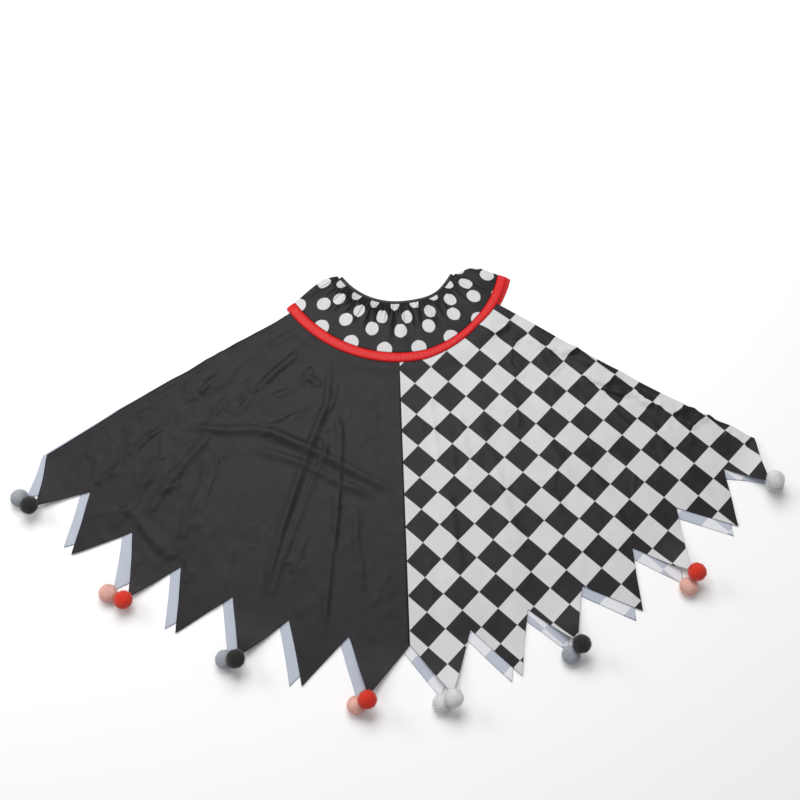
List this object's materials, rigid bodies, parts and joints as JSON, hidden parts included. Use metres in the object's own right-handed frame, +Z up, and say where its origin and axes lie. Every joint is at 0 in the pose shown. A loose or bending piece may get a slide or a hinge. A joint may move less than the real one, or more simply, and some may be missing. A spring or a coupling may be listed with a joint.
{
  "type": "clown cape costume laid flat",
  "caption": "Circle-cut clown cape laid flat: half black satin, half checked, zigzag hem with pompons at alternate points, gathered polka-dot collar with a bound edge.",
  "frame": {"origin": "middle of the laid-out cape's outline box, on the surface it lies on", "axes": "+X along the cape's width as it lies, to the checked side; +Y from the hem to the neck; +Z up from the surface"},
  "size_m": [1.5088, 0.9224, 0.06],
  "materials": {
    "black_satin": "soft satin, right side black, wrong side pale blue-grey",
    "check_satin": "soft satin printed with a black and white diamond check of 48 mm squares",
    "dotted_satin": "black satin with white dots of 30 mm in staggered rows",
    "red_binding": "red satin bias binding",
    "black_elastic": "black satin casing over elastic",
    "pompon_black": "black yarn",
    "pompon_red": "orange-red yarn",
    "pompon_white": "white yarn",
    "pompon_grey": "pale grey yarn",
    "pompon_pink": "pale pink yarn"
  },
  "bodies": {
    "root": {"front_black": "black_satin", "front_check": "check_satin", "back_black": "black_satin", "back_check": "check_satin", "collar_front": "dotted_satin", "collar_back": "dotted_satin", "binding_front": "red_binding", "binding_back": "red_binding", "neck_casing_front": "black_elastic", "neck_casing_back": "black_elastic", "pompon_front_1": "pompon_black", "pompon_front_2": "pompon_red", "pompon_front_3": "pompon_black", "pompon_front_4": "pompon_red", "pompon_front_5": "pompon_white", "pompon_front_6": "pompon_black", "pompon_front_7": "pompon_red", "pompon_front_8": "pompon_white", "pompon_back_1": "pompon_grey", "pompon_back_2": "pompon_pink", "pompon_back_3": "pompon_grey", "pompon_back_4": "pompon_pink", "pompon_back_5": "pompon_white", "pompon_back_6": "pompon_grey", "pompon_back_7": "pompon_pink", "pompon_back_8": "pompon_white"}
  },
  "joints": []
}
